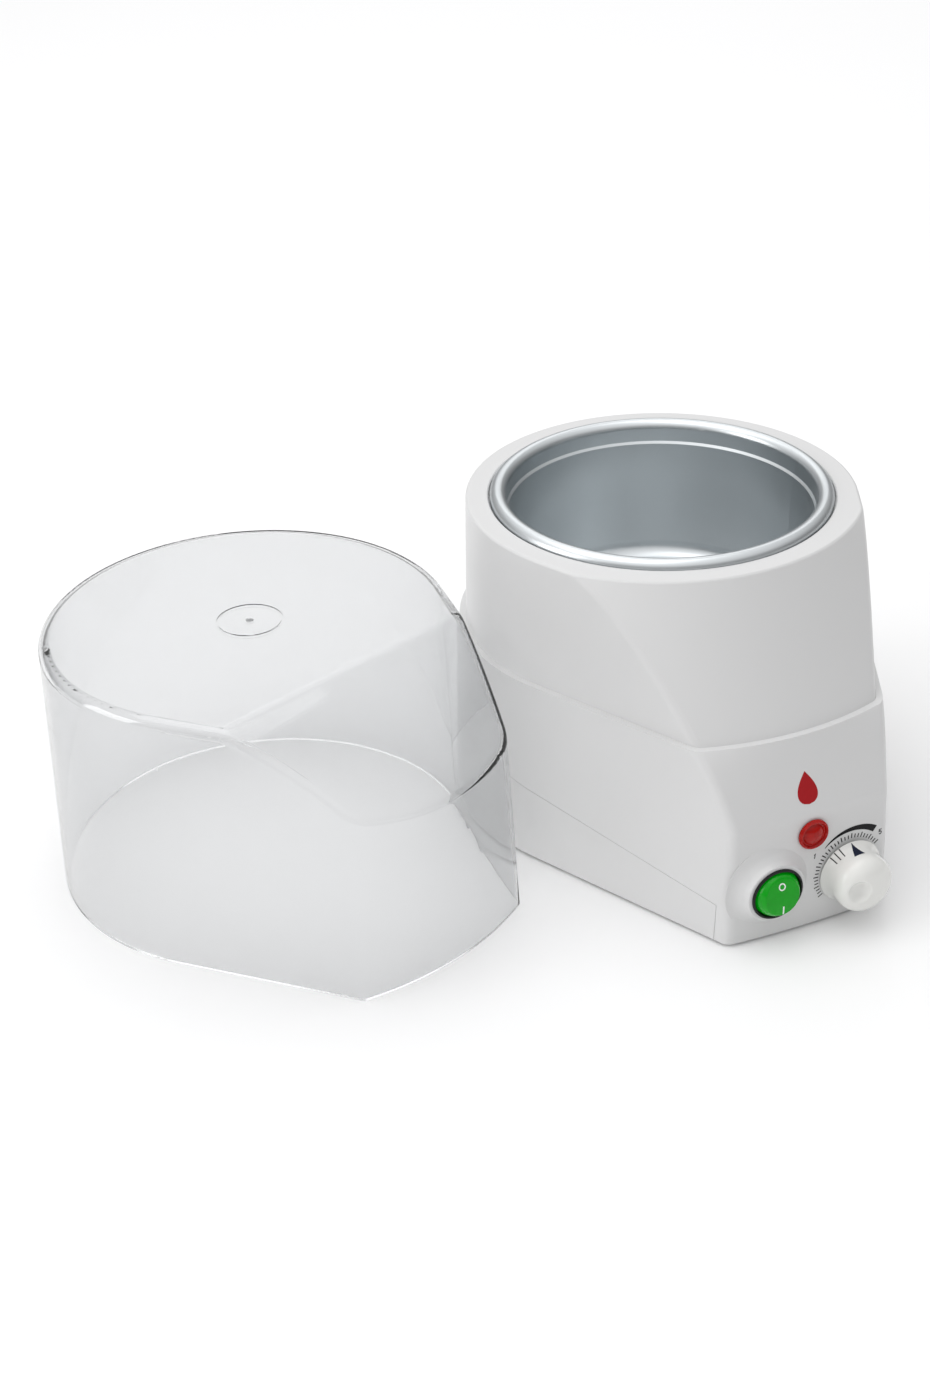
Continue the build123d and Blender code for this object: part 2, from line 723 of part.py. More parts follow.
pivot = (-panel_x, switch_face_y + pivot_in, switch_z)
rocker_out = (0, -cos(radians(rocker_tilt)), sin(radians(rocker_tilt)))
with BuildPart() as switch_rocker:
    with Locations(pivot):
        Sphere(rocker_r)
    with BuildSketch(Plane(origin=pivot, x_dir=rocker_out, z_dir=(1, 0, 0))):
        with BuildLine():
            ThreePointArc((rocker_edge, -11), (rocker_top, 0), (rocker_edge, 11))
            Polyline((rocker_edge, 11), (-rocker_back, 11), (-rocker_back, -11), (rocker_edge, -11))
        make_face()
    extrude(amount=10, both=True, mode=Mode.INTERSECT)
    fillet(switch_rocker.edges().sort_by(Axis.Y)[0], 0.6)
    with BuildSketch(Plane(origin=pivot, z_dir=(1, 0, 0))):
        Circle(0.9)
    extrude(amount=10, both=True, mode=Mode.SUBTRACT)
save(switch_rocker.part, "switch_rocker")

with BuildPart() as rocker_pin:
    with BuildSketch(Plane(origin=(pivot[0] - 10.3, pivot[1], pivot[2]), z_dir=(1, 0, 0))):
        Circle(0.83)
    extrude(amount=20.6)
save(rocker_pin.part, "rocker_pin")

switch_back = switch_face_y + switch_depth
with BuildPart() as switch_terminals:
    with BuildSketch(Plane.XZ.offset(-switch_back)):
        with Locations(*[(-panel_x, switch_z + dz) for dz in (-5, 0, 5)]):
            Rectangle(4.8, 0.8)
    extrude(amount=-7)
save(switch_terminals.part, "switch_terminals")

# ---------------------------------------------------------------- pilot lamp
lamp_origin = (0, lamp_base_y, lamp_z)
with BuildPart() as lamp_lens:
    with BuildSketch(side_section(*lamp_origin)):
        with BuildLine():
            Polyline((0, -11), (4.6, -11), (4.6, 0), (lamp_r, 0), (lamp_r, 0.8), (lamp_r - 0.5, 1.5))
            Polyline((lamp_r - 0.5, 1.5), (5.5, 1.5), (4.9, 0.6), (4.5, 0.6))
            TangentArc((0, 2.5), (4.5, 0.6), tangent=(1, 0))
            Line((0, 2.5), (0, -11))
        make_face()
    revolve(axis=user_axis(*lamp_origin))
save(lamp_lens.part, "lamp_lens")

with BuildPart() as lamp_body:
    with BuildSketch(front_plane(0, lamp_base_y + 11, lamp_z)):
        Circle(4.5)
    extrude(amount=-15)
    with BuildSketch(front_plane(0, lamp_base_y + 26, lamp_z)):
        with Locations((-2, 0), (2, 0)):
            Circle(0.7)
    extrude(amount=-5)
save(lamp_body.part, "lamp_body")

with BuildPart() as lamp_nut:
    with BuildSketch(front_plane(0, pad_y + 3, lamp_z)):
        RegularPolygon(7.2, 6)
        Circle(4.65, mode=Mode.SUBTRACT)
    extrude(amount=2.9)
save(lamp_nut.part, "lamp_nut")

# ---------------------------------------------------------------- mains entry
floor_z = skirt_z + floor_t
with BuildPart() as cord_gland:
    with BuildSketch(Plane(origin=(0, gland_y, gland_z), x_dir=(1, 0, 0), z_dir=(0, 1, 0))):
        Circle(8.6)
    extrude(amount=2)
    fillet(cord_gland.edges().sort_by(Axis.Y)[-1], 1)
    with BuildSketch(Plane(origin=(0, gland_y, gland_z), x_dir=(1, 0, 0), z_dir=(0, 1, 0))):
        Circle(6.2)
    extrude(amount=-12)
    with BuildSketch(Plane(origin=(0, gland_y - 6.2, gland_z), x_dir=(1, 0, 0), z_dir=(0, 1, 0))):
        Circle(7.8)
    extrude(amount=-2.5)
    with BuildSketch(Plane(origin=(0, gland_y + 3, gland_z), x_dir=(1, 0, 0), z_dir=(0, 1, 0))):
        Circle(cord_hole_r)
    extrude(amount=-20, mode=Mode.SUBTRACT)
save(cord_gland.part, "cord_gland")

block_y = 52.0
block_z = floor_z
block_h = 12.0
with BuildPart() as terminal_block:
    with Locations((0, block_y, block_z)):
        Box(30, 15, block_h, align=(Align.CENTER, Align.CENTER, Align.MIN))
    with BuildSketch(Plane.XZ.offset(-block_y + 8)):
        with Locations(*[(dx, block_z + 5) for dx in (-10, 0, 10)]):
            Circle(1.9)
    extrude(amount=-16, mode=Mode.SUBTRACT)
    with BuildSketch(Plane.XY.offset(block_z + block_h)):
        with Locations((-10, block_y), (0, block_y), (10, block_y)):
            Circle(2.0)
    extrude(amount=-5, mode=Mode.SUBTRACT)
    chamfer(terminal_block.edges().filter_by(Axis.Z).group_by(Axis.X)[0], 0.8)
save(terminal_block.part, "terminal_block")

with BuildPart() as terminal_screws:
    with BuildSketch(Plane.XY.offset(block_z + block_h - 4.9)):
        with Locations((-10, block_y), (0, block_y), (10, block_y)):
            Circle(1.9)
    extrude(amount=4)
    with BuildSketch(Plane.XY.offset(block_z + block_h - 1.7)):
        with Locations((-10, block_y), (0, block_y), (10, block_y)):
            Rectangle(3.2, 0.7)
    extrude(amount=1, mode=Mode.SUBTRACT)
save(terminal_screws.part, "terminal_screws")

earth_spot = (14.0, 42.0)
with BuildPart() as earth_screw:
    with BuildSketch(Plane.XY.offset(well_bottom_z - 3.4)):
        with Locations(earth_spot):
            Circle(3.2)
    extrude(amount=1.8)
    with BuildSketch(Plane.XY.offset(well_bottom_z - 1.6)):
        with Locations(earth_spot):
            Circle(4.2)
    extrude(amount=1.55)
save(earth_screw.part, "earth_screw")

# ---------------------------------------------------------------- capillary and wires
wire_r = 1.1
lead_x = 6.5                # leads of the band, each side of its gap
lead_y = -sqrt((band_r + 1.2) ** 2 - lead_x**2) - wire_r - 0.1
block_front = block_y - 7.6
pole_z = block_z + 5
wire_z = 8.0
tab_end = thermostat_back + 8.1
switch_end = switch_back + 7.1
thermostat_top = knob_z + 12.55

tube_along(
    "capillary_tube",
    [(26.1, bulb_y, bulb_z), (36, bulb_y, bulb_z), (36, -50, 61), (23, -76, 50), (panel_x, -97, 44),
     (panel_x, -110, 43), (panel_x, -110, thermostat_top)],
    0.9,
)
tube_along(
    "live_wire",
    [(-10, block_front, pole_z), (-10, 32, pole_z), (-22, 4, wire_z), (-25, -30, wire_z),
     (-24, -62, 12), (-panel_x, -86, switch_z + 5), (-panel_x, switch_end, switch_z + 5)],
    wire_r,
)
tube_along(
    "neutral_wire",
    [(0, block_front, pole_z), (0, 30, pole_z), (-5, -4, wire_z), (-7, -40, wire_z),
     (-10, -72, 10), (-panel_x, -90, switch_z - 5), (-panel_x, switch_end, switch_z - 5)],
    wire_r,
)
tube_along(
    "feed_wire",
    [(-panel_x, switch_end, switch_z), (-panel_x, -94, switch_z), (-6, -89, 29), (12, -87, 30),
     (panel_x + tab_x, -83, 26), (panel_x + tab_x, -82, tab_z), (panel_x + tab_x, tab_end, tab_z)],
    wire_r,
)
tube_along(
    "heater_wire",
    [(panel_x - tab_x, tab_end, tab_z), (panel_x - tab_x, -80, tab_z), (9, -74, 36),
     (lead_x, lead_y - 3, 56), (lead_x, lead_y, 72), (lead_x, lead_y, clamp_z - 4)],
    wire_r,
)
tube_along(
    "return_wire",
    [(-lead_x, lead_y, clamp_z - 4), (-lead_x, lead_y, 72), (-6, -58, 50), (2, -40, 30),
     (6, -8, 14), (10, 26, pole_z + 1), (10, block_front, pole_z)],
    wire_r,
)

# ---------------------------------------------------------------- clear lid
lid_base_corner = 3.0
lid_top_corner = 20.0
lid_slope_start = -58.0
lid_slope_mid = (-88.0, 91.0)
lid_slope_end = (-116.0, 67.5)
lid_draft = 1.6             # front face leans back over the full height
gate_y = -2.0


def lid_form(inset):
    """Teardrop bell with a slanted front, inset from its outer skin."""
    height = lid_h - inset
    side = Plane(origin=lid_plane.origin, x_dir=lid_plane.y_dir, z_dir=lid_plane.x_dir)
    with BuildPart() as form:
        add(teardrop(lid_plane, lid_r - inset, lid_front - inset, lid_sag, lid_base_corner - inset / 2))
        add(teardrop(lid_plane.offset(height), lid_top_r - inset, lid_front - lid_draft - inset, lid_sag,
                     lid_top_corner - inset))
        loft(ruled=True)
        with BuildSketch(side):
            with BuildLine():
                start = (lid_slope_start, height)
                middle = (lid_slope_mid[0], lid_slope_mid[1] - inset)
                end = (lid_slope_end[0], lid_slope_end[1] - inset)
                ThreePointArc(start, middle, end)
                Polyline(end, (-140, end[1]), (-140, lid_h + 20), (lid_slope_start, lid_h + 20), start)
            make_face()
        extrude(amount=90, both=True, mode=Mode.SUBTRACT)
    return form.part


def lid_shape(inset, line_radius, edge_radius):
    """The bell with its edges rounded: first the line under the top, then the rest of the rim."""
    front = lid_plane.y_dir * -1
    with BuildPart() as form:
        add(lid_form(inset))
        top_line = form.faces().sort_by(Axis.Z)[-1].edges().sort_by(Axis(lid_plane.origin, front))[-1]
        fillet(top_line, line_radius)
        slope_face = form.faces().sort_by(lambda face: slope_facing(face))[-1]
        fillet(slope_face.edges().sort_by(Axis(lid_plane.origin, front))[-1], edge_radius)
    return form.part


def slope_facing(face):
    """How squarely a face looks forward and up."""
    normal = face.normal_at(face.center())
    return normal.dot(lid_plane.y_dir * -0.6 + lid_plane.z_dir * 0.8) * min(face.area, 1000)


with BuildPart() as clear_lid:
    add(lid_shape(0, 10, 4.2))
    add(lid_shape(lid_wall, 8.5, 2.8), mode=Mode.SUBTRACT)
    with BuildSketch(lid_plane.offset(lid_h)):
        with Locations((0, gate_y)):
            Circle(13)
            Circle(12.3, mode=Mode.SUBTRACT)
            Circle(1.6)
    extrude(amount=-0.35, mode=Mode.SUBTRACT)
save(clear_lid.part, "clear_lid")
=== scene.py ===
"""Looks of a table-top wax heater with a lift-out pot and a clear lid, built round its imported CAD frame."""
import json
import math

import bmesh
import bpy
from mathutils import Matrix, Vector


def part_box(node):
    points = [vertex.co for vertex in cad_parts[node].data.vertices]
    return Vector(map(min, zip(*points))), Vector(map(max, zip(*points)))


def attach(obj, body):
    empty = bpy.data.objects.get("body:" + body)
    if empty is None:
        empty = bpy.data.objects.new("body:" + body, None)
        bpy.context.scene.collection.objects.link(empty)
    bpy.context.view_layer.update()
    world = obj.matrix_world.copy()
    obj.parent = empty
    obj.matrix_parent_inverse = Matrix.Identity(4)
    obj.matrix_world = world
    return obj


MM = 0.001

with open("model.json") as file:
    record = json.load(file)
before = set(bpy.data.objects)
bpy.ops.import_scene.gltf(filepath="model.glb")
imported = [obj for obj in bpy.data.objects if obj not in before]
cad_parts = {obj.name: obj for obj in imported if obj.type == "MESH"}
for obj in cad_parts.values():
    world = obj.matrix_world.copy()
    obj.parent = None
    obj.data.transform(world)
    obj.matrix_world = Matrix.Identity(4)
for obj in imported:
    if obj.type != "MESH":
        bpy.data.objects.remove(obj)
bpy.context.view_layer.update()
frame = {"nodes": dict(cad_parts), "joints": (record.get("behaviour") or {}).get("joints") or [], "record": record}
nodes = frame["nodes"]
joints = {joint["name"]: joint for joint in frame["joints"]}


# ---------------------------------------------------------------- camera
CAMERA_AZIMUTH = math.radians(-24.1)
CAMERA_ELEVATION = math.radians(31.1)
CAMERA_ROLL = math.radians(-1.23)
CAMERA_DISTANCE = 0.900
CAMERA_SIDE = -0.0591
CAMERA_RISE = 0.0296
LENS_MM = 52.8
LENS_SHIFT = -0.0403
SENSOR_MM = 36


def make_camera():
    """Camera above and to the left of the front, placed and aimed by its own axes."""
    azimuth, elevation, roll = CAMERA_AZIMUTH, CAMERA_ELEVATION, CAMERA_ROLL
    back = Vector((
        math.sin(azimuth) * math.cos(elevation),
        -math.cos(azimuth) * math.cos(elevation),
        math.sin(elevation),
    ))
    right = Vector((math.cos(azimuth), math.sin(azimuth), 0))
    up = back.cross(right)
    side = right * math.cos(roll) + up * math.sin(roll)
    top = up * math.cos(roll) - right * math.sin(roll)
    camera = bpy.data.objects.new("camera", bpy.data.cameras.new("camera"))
    bpy.context.scene.collection.objects.link(camera)
    place = back * CAMERA_DISTANCE + side * CAMERA_SIDE + top * CAMERA_RISE
    turn = Matrix((side, top, back)).transposed().to_4x4()
    camera.matrix_world = Matrix.Translation(place) @ turn
    camera.data.sensor_width = SENSOR_MM
    camera.data.lens = LENS_MM
    camera.data.shift_x = LENS_SHIFT
    camera.data.clip_start = 0.02
    camera.data.clip_end = 50
    bpy.context.scene.camera = camera


make_camera()


# ---------------------------------------------------------------- floor and light
BACKDROP = 0.93             # what the camera sees past the floor
SKY_LEVELS = [(0.0, 0.24), (0.3, 0.46), (0.65, 0.95), (1.0, 1.15)]  # height, brightness
SKY_LEFT = 1.22
SKY_RIGHT = 0.74
FLOOR_REACH = 4.0
FLOOR_ALBEDO = 0.93
FLOOR_LEVEL = -0.0002
AIM = (0, 0, 0.05)


def emission_world():
    """Studio surroundings: bright overhead, darker round the horizon and to the right."""
    world = bpy.data.worlds.new("studio")
    bpy.context.scene.world = world
    world.use_nodes = True
    tree = world.node_tree
    tree.nodes.clear()
    out = tree.nodes.new("ShaderNodeOutputWorld")
    background = tree.nodes.new("ShaderNodeBackground")
    ramp = tree.nodes.new("ShaderNodeValToRGB")
    split = tree.nodes.new("ShaderNodeSeparateXYZ")
    where = tree.nodes.new("ShaderNodeTexCoord")
    tree.links.new(where.outputs["Generated"], split.inputs[0])
    tree.links.new(split.outputs["Z"], ramp.inputs[0])
    tree.links.new(ramp.outputs[0], background.inputs["Color"])
    backdrop = tree.nodes.new("ShaderNodeBackground")
    backdrop.inputs["Color"].default_value = (BACKDROP, BACKDROP, BACKDROP, 1)
    seen = tree.nodes.new("ShaderNodeLightPath")
    mix = tree.nodes.new("ShaderNodeMixShader")
    tree.links.new(seen.outputs["Is Camera Ray"], mix.inputs["Fac"])
    tree.links.new(background.outputs[0], mix.inputs[1])
    tree.links.new(backdrop.outputs[0], mix.inputs[2])
    tree.links.new(mix.outputs[0], out.inputs[0])
    steps = ramp.color_ramp.elements
    while len(steps) < len(SKY_LEVELS):
        steps.new(0.5)
    for step, (height, level) in zip(steps, SKY_LEVELS):
        step.position = height
        step.color = (level, level, level * 1.005, 1)
    fall = tree.nodes.new("ShaderNodeMapRange")
    fall.inputs["From Min"].default_value = -1.0
    fall.inputs["To Min"].default_value = SKY_LEFT
    fall.inputs["To Max"].default_value = SKY_RIGHT
    tree.links.new(split.outputs["X"], fall.inputs["Value"])
    tree.links.new(fall.outputs[0], background.inputs["Strength"])


def softbox(name, place, target, size, power):
    """Large rectangular lamp aimed at a point."""
    data = bpy.data.lights.new(name, "AREA")
    data.shape = "RECTANGLE"
    data.size, data.size_y = size
    data.energy = power
    lamp = bpy.data.objects.new(name, data)
    bpy.context.scene.collection.objects.link(lamp)
    lamp.location = place
    lamp.rotation_mode = "QUATERNION"
    lamp.rotation_quaternion = (Vector(target) - Vector(place)).to_track_quat("-Z", "Y")


def make_floor():
    """Pale matt floor just under the feet."""
    mesh = bpy.data.meshes.new("floor")
    corners = [(-FLOOR_REACH, -FLOOR_REACH, 0), (FLOOR_REACH, -FLOOR_REACH, 0)]
    corners += [(FLOOR_REACH, FLOOR_REACH, 0), (-FLOOR_REACH, FLOOR_REACH, 0)]
    mesh.from_pydata(corners, [], [(0, 1, 2, 3)])
    floor = bpy.data.objects.new("floor", mesh)
    bpy.context.scene.collection.objects.link(floor)
    floor.location = (0, 0, FLOOR_LEVEL)
    material = bpy.data.materials.new("floor")
    material.use_nodes = True
    shader = material.node_tree.nodes["Principled BSDF"]
    shader.inputs["Base Color"].default_value = (FLOOR_ALBEDO, FLOOR_ALBEDO, FLOOR_ALBEDO, 1)
    shader.inputs["Roughness"].default_value = 0.9
    shader.inputs["Specular IOR Level"].default_value = 0.0
    mesh.materials.append(material)


bpy.context.scene.view_settings.view_transform = "Standard"
emission_world()
make_floor()
softbox("overhead", (-0.25, 0.25, 1.5), AIM, (1.6, 1.2), 5.0)
softbox("behind", (0.9, 2.0, 1.5), (-0.1, 0, 0.12), (1.8, 1.0), 4.6)
softbox("left", (-1.8, 0.2, 0.6), (0, 0, 0.08), (0.9, 1.1), 9.0)


# ---------------------------------------------------------------- materials
class Finish:
    """A Principled material with procedural colour, roughness and relief."""

    def __init__(self, name, color, roughness, **constants):
        self.material = bpy.data.materials.new(name)
        self.material.use_nodes = True
        self.tree = self.material.node_tree
        self.shader = self.tree.nodes["Principled BSDF"]
        self.coords = self.tree.nodes.new("ShaderNodeTexCoord").outputs["Object"]
        self.color = color
        self.shader.inputs["Base Color"].default_value = (*color, 1)
        self.shader.inputs["Roughness"].default_value = roughness
        self.roughness = roughness
        for socket, value in constants.items():
            self.shader.inputs[socket.replace("_", " ")].default_value = value

    def link(self, source, target):
        self.tree.links.new(source, target)

    def stretched(self, scale):
        """Coordinates scaled by axis, so that a noise runs along a direction."""
        mapping = self.tree.nodes.new("ShaderNodeMapping")
        mapping.inputs["Scale"].default_value = scale
        self.link(self.coords, mapping.inputs["Vector"])
        return mapping.outputs[0]

    def turned(self):
        """Coordinates (radius, 0, height) about the pot's axis, for spun marks."""
        split = self.tree.nodes.new("ShaderNodeSeparateXYZ")
        self.link(self.coords, split.inputs[0])
        flat = self.tree.nodes.new("ShaderNodeCombineXYZ")
        self.link(split.outputs["X"], flat.inputs["X"])
        self.link(split.outputs["Y"], flat.inputs["Y"])
        length = self.tree.nodes.new("ShaderNodeVectorMath")
        length.operation = "LENGTH"
        self.link(flat.outputs[0], length.inputs[0])
        joined = self.tree.nodes.new("ShaderNodeCombineXYZ")
        self.link(length.outputs["Value"], joined.inputs["X"])
        self.link(split.outputs["Z"], joined.inputs["Z"])
        return joined.outputs[0]

    def noise(self, scale, detail=3.0, rough=0.5, coords=None):
        node = self.tree.nodes.new("ShaderNodeTexNoise")
        node.inputs["Scale"].default_value = scale
        node.inputs["Detail"].default_value = detail
        node.inputs["Roughness"].default_value = rough
        self.link(coords or self.coords, node.inputs["Vector"])
        return node.outputs["Fac"]

    def mix(self, factor, low, high):
        node = self.tree.nodes.new("ShaderNodeMix")
        node.data_type = "RGBA"
        self.link(factor, node.inputs["Factor"])
        node.inputs["A"].default_value = (*low, 1)
        node.inputs["B"].default_value = (*high, 1)
        return node.outputs["Result"]

    def mottle(self, scale, amount, coords=None, detail=4.0):
        """Colour wanders round its mean by a share of itself."""
        low = [c * (1 - amount) for c in self.color]
        high = [min(1, c * (1 + amount)) for c in self.color]
        factor = self.noise(scale, detail, 0.6, coords)
        self.link(self.mix(factor, low, high), self.shader.inputs["Base Color"])
        return self

    def sheen_range(self, scale, spread, coords=None, detail=4.0):
        """Roughness wanders by a spread each side of its mean."""
        node = self.tree.nodes.new("ShaderNodeMapRange")
        node.inputs["From Min"].default_value = 0.1
        node.inputs["From Max"].default_value = 0.9
        node.inputs["To Min"].default_value = max(0.02, self.roughness - spread)
        node.inputs["To Max"].default_value = self.roughness + spread
        self.link(self.noise(scale, detail, 0.6, coords), node.inputs["Value"])
        self.link(node.outputs[0], self.shader.inputs["Roughness"])
        return self

    def relief(self, layers):
        """Bump from noise layers of (scale, depth in metres, coordinates or None)."""
        normal = None
        for scale, depth, coords in layers:
            bump = self.tree.nodes.new("ShaderNodeBump")
            bump.inputs["Strength"].default_value = 1.0
            bump.inputs["Distance"].default_value = depth
            self.link(self.noise(scale, 3.0, 0.55, coords), bump.inputs["Height"])
            if normal is not None:
                self.link(normal, bump.inputs["Normal"])
            normal = bump.outputs[0]
        self.link(normal, self.shader.inputs["Normal"])
        return self


def moulded(name, color, roughness, grain=0.00002, **constants):
    """Injection-moulded plastic: faint mottle, slow waviness and fine grain."""
    finish = Finish(name, color, roughness, **constants)
    finish.mottle(60, 0.006, detail=2.0)
    finish.sheen_range(110, 0.02, detail=2.0)
    finish.relief([(18, grain * 3, None), (700, grain * 0.1, None)])
    return finish.material


def plated(name, color, roughness):
    """Zinc-plated or drawn metal with a faint directional grain."""
    finish = Finish(name, color, roughness, Metallic=1.0)
    finish.mottle(160, 0.06)
    finish.sheen_range(240, 0.08, finish.stretched((1, 6, 6)))
    finish.relief([(1400, 0.000006, finish.stretched((1, 5, 5)))])
    return finish.material


def spun(name, color, roughness):
    """Spun aluminium: fine rings about the pot's axis."""
    finish = Finish(name, color, roughness, Metallic=1.0, Anisotropic=0.3)
    rings = finish.turned()
    finish.mottle(14, 0.02)
    finish.sheen_range(500, 0.03, rings)
    finish.relief([(1100, 0.0000015, rings), (30, 0.00001, None)])
    return finish.material


def clear_plastic(name):
    """Clear styrene that lets lamps through to what stands in it, with painted shade: its colour greys where it is
    seen edge on, in place of the dark edges that refraction gives.
    """
    finish = Finish(name, (0.9, 0.905, 0.91), 0.03)
    finish.shader.inputs["Transmission Weight"].default_value = 1.0
    finish.shader.inputs["IOR"].default_value = 1.55
    tree = finish.tree
    # Painted shade: the base colour darkens towards grazing view, standing in for dark refraction edges, not a
    # tint of the plastic.
    facing = tree.nodes.new("ShaderNodeLayerWeight")
    facing.inputs["Blend"].default_value = 0.35
    bend = tree.nodes.new("ShaderNodeMath")
    bend.operation = "POWER"
    bend.inputs[1].default_value = 2.2
    finish.link(facing.outputs["Facing"], bend.inputs[0])
    edge_on_shade = finish.mix(bend.outputs[0], (0.84, 0.845, 0.85), (0.36, 0.37, 0.38))
    finish.link(edge_on_shade, finish.shader.inputs["Base Color"])
    finish.sheen_range(30, 0.008, detail=0.0)
    finish.relief([(11, 0.00002, None)])
    clear = tree.nodes.new("ShaderNodeBsdfTransparent")
    clear.inputs["Color"].default_value = (0.9, 0.9, 0.9, 1)
    mix = tree.nodes.new("ShaderNodeMixShader")
    rays = tree.nodes.new("ShaderNodeLightPath")
    finish.link(rays.outputs["Is Shadow Ray"], mix.inputs["Fac"])
    finish.link(finish.shader.outputs[0], mix.inputs[1])
    finish.link(clear.outputs[0], mix.inputs[2])
    finish.link(mix.outputs[0], tree.nodes["Material Output"].inputs["Surface"])
    return finish.material


def tinted(name, color, roughness, glow=0.0):
    """Translucent coloured polycarbonate of a switch or lamp."""
    finish = Finish(name, color, roughness, Specular_IOR_Level=0.26)
    finish.shader.inputs["Subsurface Weight"].default_value = 0.35
    finish.shader.inputs["Subsurface Radius"].default_value = (0.003, 0.003, 0.003)
    finish.shader.inputs["Emission Color"].default_value = (*color, 1)
    finish.shader.inputs["Emission Strength"].default_value = glow
    finish.mottle(420, 0.18)
    finish.sheen_range(300, 0.03)
    finish.relief([(500, 0.000012, None)])
    return finish.material


def ink(name, color):
    """Matt printing ink."""
    finish = Finish(name, color, 0.5, Specular_IOR_Level=0.15)
    finish.mottle(900, 0.10)
    finish.relief([(1500, 0.000004, None)])
    return finish.material


def woven(name, color):
    """Woven fibre sleeve or pad."""
    finish = Finish(name, color, 0.9, Sheen_Weight=0.3)
    wave = finish.tree.nodes.new("ShaderNodeTexWave")
    wave.inputs["Scale"].default_value = 420
    wave.inputs["Distortion"].default_value = 1.5
    finish.link(finish.coords, wave.inputs["Vector"])
    low = [c * 0.82 for c in color]
    finish.link(finish.mix(wave.outputs["Fac"], low, color), finish.shader.inputs["Base Color"])
    finish.sheen_range(200, 0.05)
    finish.relief([(700, 0.0001, None)])
    return finish.material


def make_materials():
    """All finishes by name; the CAD nodes' are named as the record's slots."""
    return {
        "abs_white": moulded("abs_white", (0.655, 0.655, 0.655), 0.31),
        "aluminium_pot": spun("aluminium_pot", (0.655, 0.685, 0.70), 0.32),
        "aluminium_well": spun("aluminium_well", (0.70, 0.71, 0.72), 0.4),
        "clear_plastic": clear_plastic("clear_plastic"),
        "knob_white": moulded("knob_white", (0.78, 0.78, 0.755), 0.14),
        "switch_black": moulded("switch_black", (0.010, 0.010, 0.011), 0.5, Specular_IOR_Level=0.25),
        "rocker_green": tinted("rocker_green", (0.0, 0.25, 0.004), 0.14, 0.30),
        "lamp_red": tinted("lamp_red", (0.36, 0.003, 0.001), 0.12, 0.04),
        "print_black": ink("print_black", (0.006, 0.006, 0.007)),
        "print_navy": ink("print_navy", (0.01, 0.014, 0.035)),
        "print_white": ink("print_white", (0.85, 0.87, 0.85)),
        "print_red": ink("print_red", (0.36, 0.010, 0.014)),
        "frosted": moulded("frosted", (0.30, 0.305, 0.31), 0.5, 0.00003),
        "feet_rubber": moulded("feet_rubber", (0.02, 0.02, 0.02), 0.75, 0.00006),
        "zinc_steel": plated("zinc_steel", (0.60, 0.61, 0.62), 0.37),
        "brass_tab": plated("brass_tab", (0.75, 0.55, 0.24), 0.37),
        "mica_band": plated("mica_band", (0.42, 0.36, 0.28), 0.45),
        "glass_wool": woven("glass_wool", (0.80, 0.77, 0.68)),
        "copper_bulb": plated("copper_bulb", (0.72, 0.36, 0.22), 0.37),
        "bakelite": moulded("bakelite", (0.05, 0.03, 0.02), 0.4),
        "nylon_block": moulded("nylon_block", (0.78, 0.76, 0.68), 0.45),
        "wire_brown": moulded("wire_brown", (0.10, 0.035, 0.015), 0.5),
        "wire_blue": moulded("wire_blue", (0.015, 0.05, 0.30), 0.5),
        "wire_white": moulded("wire_white", (0.75, 0.75, 0.72), 0.5),
    }


materials = make_materials()
for part in frame["record"]["subparts"]:
    obj = nodes[part["node"]]
    obj.data.materials.clear()
    obj.data.materials.append(materials[part["material_slot"]])


# ---------------------------------------------------------------- printed marks
INK_LIFT = 0.04 * MM
INK_SINK = 0.08 * MM
ACROSS = (-1, -0.5, 0, 0.5, 1)
DROP_STEPS = 26


def grid_solid(mesh, rows, cast, closed=False):
    """Add a thin closed solid whose outline grid of (u, v) points is laid on a surface by cast."""
    front, back = [], []
    for row in rows:
        hits = [cast(u, v) for u, v in row]
        front.append([mesh.verts.new(place + normal * INK_LIFT) for place, normal in hits])
        back.append([mesh.verts.new(place - normal * INK_SINK) for place, normal in hits])
    if closed:
        front.append(front[0])
        back.append(back[0])
    last_row, last = len(front) - 1, len(front[0]) - 1
    for i in range(last_row):
        for j in range(last):
            mesh.faces.new((front[i][j], front[i][j + 1], front[i + 1][j + 1], front[i + 1][j]))
            mesh.faces.new((back[i + 1][j], back[i + 1][j + 1], back[i][j + 1], back[i][j]))
        for j in (0, last):
            mesh.faces.new((front[i][j], front[i + 1][j], back[i + 1][j], back[i][j]))
    for i in () if closed else (0, last_row):
        for j in range(last):
            mesh.faces.new((front[i][j + 1], front[i][j], back[i][j], back[i][j + 1]))


def add_piece(name, mesh, finish, smooth=False):
    """Turn a bmesh into a visible piece with a finish."""
    bmesh.ops.recalc_face_normals(mesh, faces=mesh.faces)
    data = bpy.data.meshes.new(name)
    mesh.to_mesh(data)
    mesh.free()
    if smooth:
        data.shade_smooth()
    data.materials.append(materials[finish])
    piece = bpy.data.objects.new(name, data)
    bpy.context.scene.collection.objects.link(piece)
    return piece


def printed(name, grids, cast, body, finish, closed=False):
    """One printed mark made of several thin solids that lie on a CAD surface."""
    mesh = bmesh.new()
    for rows in grids:
        grid_solid(mesh, rows, cast, closed)
    piece = add_piece(name, mesh, finish)
    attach(piece, body)


def onto(node, direction, spot):
    """Cast that drops a point on a node: spot(u, v) gives the start and direction(u, v) the way."""
    target = nodes[node]

    def cast(u, v):
        found, place, normal, _ = target.ray_cast(spot(u, v), direction(u, v))
        if not found:
            raise ValueError(f"{node}: nothing under {u:.2f}, {v:.2f}")
        return place, normal

    return cast


def from_front(node):
    """(x, z) in millimetres, dropped on a node from the front."""
    return onto(node, lambda x, z: Vector((0, 1, 0)), lambda x, z: Vector((x * MM, -0.25, z * MM)))


def polar(x, z, radius, degrees):
    """Point (x, z) at a radius and bearing round a centre."""
    angle = math.radians(degrees)
    return (x + radius * math.cos(angle), z + radius * math.sin(angle))


